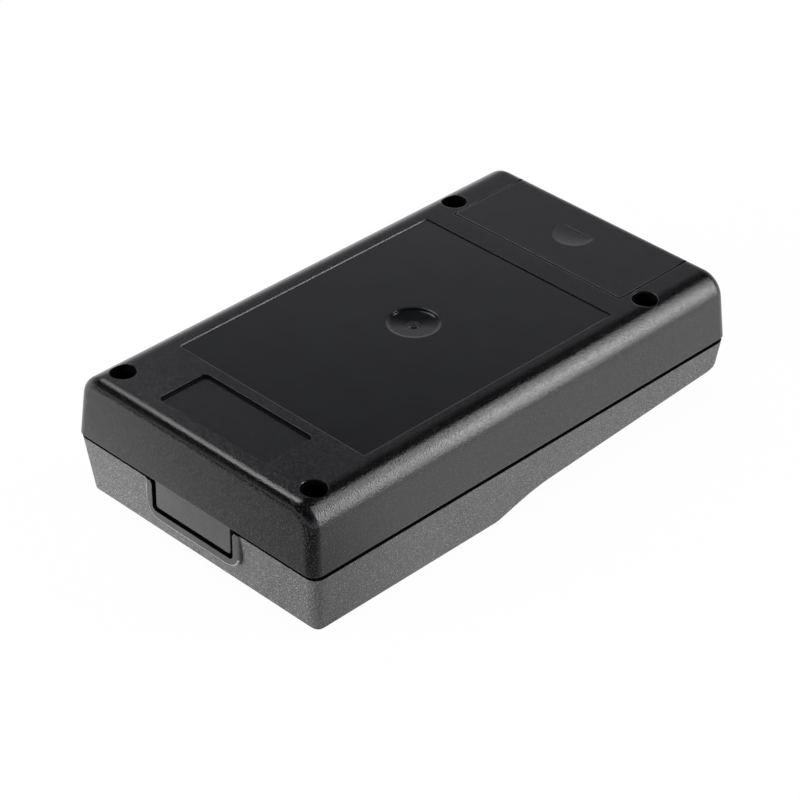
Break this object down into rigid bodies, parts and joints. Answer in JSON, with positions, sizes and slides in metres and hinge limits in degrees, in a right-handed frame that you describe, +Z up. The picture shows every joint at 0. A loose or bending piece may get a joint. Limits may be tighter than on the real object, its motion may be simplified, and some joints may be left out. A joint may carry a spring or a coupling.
{
  "type": "handheld enclosure",
  "caption": "Handheld instrument case in black plastic: screwed back and front shells, stepped front, label recess on the back and a sliding battery door.",
  "frame": {"origin": "centre of the case in plan, on the plane that its thick front face lies on", "axes": "+X across the case, +Y along it from the thick end to the battery end, +Z up out of its back face, as it lies face down"},
  "size_m": [0.083, 0.1456, 0.0347],
  "materials": {
    "case_plastic": "black moulded plastic with a fine satin grain; the recesses are smooth and glossy",
    "front_plastic": "black moulded plastic with a fine satin grain",
    "door_plastic": "black moulded plastic with a fine satin grain",
    "screw_steel": "zinc-plated",
    "contact_nickel": "nickel-plated spring brass"
  },
  "bodies": {
    "case": {"back_shell": "case_plastic", "front_shell": "front_plastic", "case_screws": "screw_steel", "contact_stud": "contact_nickel", "contact_socket": "contact_nickel"},
    "door": {"battery_door": "door_plastic"}
  },
  "joints": [
    {"name": "door_slide", "type": "slide", "parent": "case", "child": "door", "axis": [0, 1, 0], "range_m": [0, 0.03]}
  ]
}
